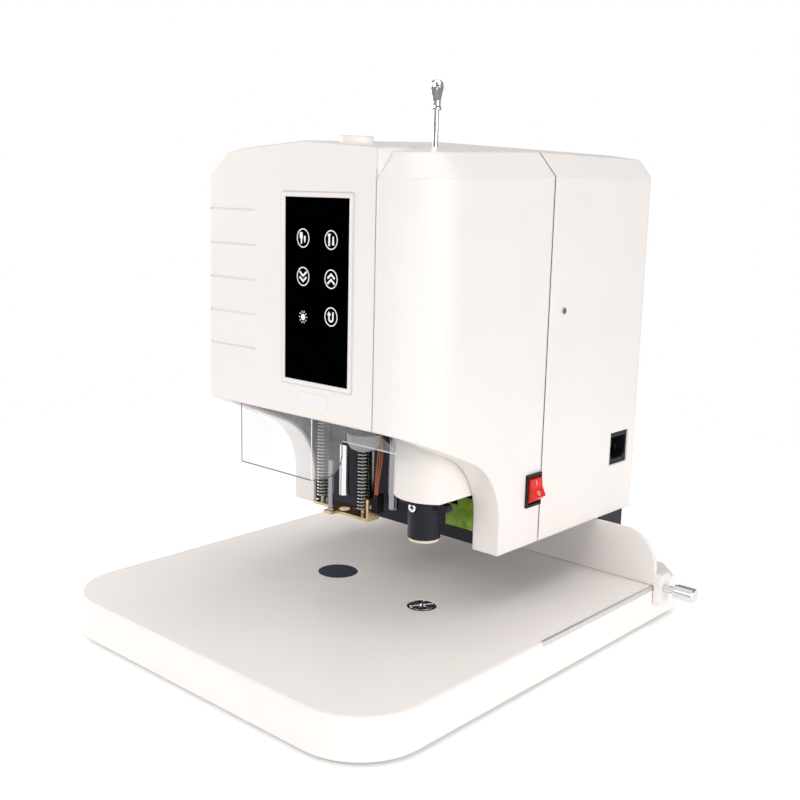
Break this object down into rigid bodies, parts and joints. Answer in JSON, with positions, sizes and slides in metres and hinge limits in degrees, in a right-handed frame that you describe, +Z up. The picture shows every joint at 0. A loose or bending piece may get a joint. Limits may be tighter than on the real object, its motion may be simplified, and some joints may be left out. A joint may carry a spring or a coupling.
{
  "type": "document riveting machine",
  "caption": "Desk machine with a sliding paper stop that drills a stack of sheets with a hollow bit and closes a plastic tube rivet through it under a covered head.",
  "frame": {"origin": "on the desk, below the centre of the whole machine's box", "axes": "+X to the right of the person using it, +Y to the back, +Z up"},
  "size_m": [0.33, 0.359, 0.3769],
  "materials": {
    "cover": "smooth moulded covers, warm white, satin sheen",
    "body_paint": "powder coat, warm white, fine satin",
    "black_steel": "black painted steel plate",
    "machined_steel": "ground steel",
    "aluminium": "milled aluminium",
    "chrome": "polished chrome plate",
    "spring_steel": "bright drawn wire",
    "yellow_zinc": "yellow passivated zinc plate",
    "black_plastic": "fine matt black plastic",
    "pad_plastic": "dark cutting pad, matt",
    "panel_glass": "gloss black touch panel",
    "clear_plastic": "clear acrylic sheet",
    "lamp_diffuser": "frosted lamp bowl",
    "red_plastic": "gloss red",
    "rubber": "soft black rubber",
    "brass": "plain brass",
    "circuit_green": "printed circuit board",
    "lead_orange": "orange wire sleeve",
    "cream_plastic": "cream insulating plastic",
    "label": "plain blank plate"
  },
  "bodies": {
    "machine_frame": {"base_shell": "body_paint", "base_plate": "black_steel", "rubber_feet": "rubber", "anvil_plate": "machined_steel", "pad_cup": "black_steel", "die_holder": "black_plastic", "rivet_die": "chrome", "table_rail": "machined_steel", "side_plate_left": "black_steel", "side_plate_right": "black_steel", "lower_deck": "black_steel", "front_wall": "black_steel", "upper_deck": "black_steel", "drill_posts": "machined_steel", "rivet_posts": "machined_steel", "middle_post": "chrome", "drill_lift_motor": "black_steel", "rivet_lift_motor": "black_steel", "rivet_shroud": "body_paint", "lamp": "lamp_diffuser", "lamp_bracket": "black_steel", "front_cover": "cover", "rear_cover": "cover", "panel_frame": "cover", "touch_panel": "panel_glass", "label_plate": "label", "clear_guard": "clear_plastic", "switch_housing": "black_plastic", "inlet_socket": "black_plastic", "inlet_pins": "brass", "cover_screws": "chrome", "top_cap": "cover", "rod_sleeve": "aluminium", "control_board": "circuit_green", "power_supply": "aluminium"},
    "drill_carriage": {"drill_carriage": "black_steel", "drill_motor": "aluminium"},
    "drill_spindle": {"drill_spindle": "machined_steel", "drill_bit": "chrome"},
    "presser": {"presser_plate": "yellow_zinc", "presser_rod_left": "chrome", "presser_rod_right": "chrome", "presser_spring_left": "spring_steel", "presser_spring_right": "spring_steel", "limit_pin": "chrome", "sensor_block": "black_plastic", "sensor_leads": "lead_orange"},
    "drill_screw": {"drill_lead_screw": "machined_steel"},
    "rivet_carriage": {"rivet_carriage": "aluminium", "press_head": "black_steel", "heater_clamp": "black_steel", "clamp_screw": "chrome", "press_tip": "cream_plastic"},
    "rivet_screw": {"rivet_lead_screw": "machined_steel"},
    "fence": {"fence_plate": "body_paint", "fence_arm": "body_paint"},
    "fence_knob": {"fence_knob": "chrome"},
    "power_rocker": {"rocker_button": "red_plastic"},
    "clearing_rod": {"clearing_rod": "chrome"},
    "drill_pad": {"drill_pad": "pad_plastic"}
  },
  "joints": [
    {"name": "drill_feed", "type": "slide", "parent": "machine_frame", "child": "drill_carriage", "axis": [0, 0, -1], "range_m": [0, 0.0618]},
    {"name": "drill_spin", "type": "hinge", "parent": "drill_carriage", "child": "drill_spindle", "pos_m": [-0.0386, -0.0195, 0.12], "axis": [0, 0, 1], "continuous": true},
    {"name": "presser_lift", "type": "slide", "parent": "drill_carriage", "child": "presser", "axis": [0, 0, 1], "range_m": [0, 0.04], "deforming": ["presser_spring_left", "presser_spring_right"]},
    {"name": "drill_screw_turn", "type": "hinge", "parent": "machine_frame", "child": "drill_screw", "pos_m": [-0.0386, 0.0295, 0.18], "axis": [0, 0, 1], "continuous": true},
    {"name": "rivet_feed", "type": "slide", "parent": "machine_frame", "child": "rivet_carriage", "axis": [0, 0, -1], "range_m": [0, 0.046]},
    {"name": "rivet_screw_turn", "type": "hinge", "parent": "machine_frame", "child": "rivet_screw", "pos_m": [0.0407, 0.0295, 0.18], "axis": [0, 0, 1], "continuous": true},
    {"name": "power_rocker_tilt", "type": "hinge", "parent": "machine_frame", "child": "power_rocker", "pos_m": [0.0822, 0.0399, 0.1086], "axis": [0, 1, 0], "range_deg": [0, 34]},
    {"name": "fence_slide", "type": "slide", "parent": "machine_frame", "child": "fence", "axis": [0, -1, 0], "range_m": [0, 0.125]},
    {"name": "fence_knob_turn", "type": "hinge", "parent": "fence", "child": "fence_knob", "pos_m": [0.1358, 0.1335, 0.0275], "axis": [1, 0, 0], "range_deg": [0, 360]},
    {"name": "clearing_rod_lift", "type": "slide", "parent": "machine_frame", "child": "clearing_rod", "axis": [0, 0, 1], "range_m": [0, 0.032]},
    {"name": "drill_pad_turn", "type": "hinge", "parent": "machine_frame", "child": "drill_pad", "pos_m": [-0.0476, -0.0155, 0.024], "axis": [0, 0, 1], "continuous": true}
  ],
  "couplings": [
    {"joint": "drill_screw_turn", "follows": "drill_feed", "rad_per_m": 785.4},
    {"joint": "rivet_screw_turn", "follows": "rivet_feed", "rad_per_m": 785.4},
    {"joint": "presser_lift", "follows": "drill_feed", "ratio": 0.222}
  ]
}
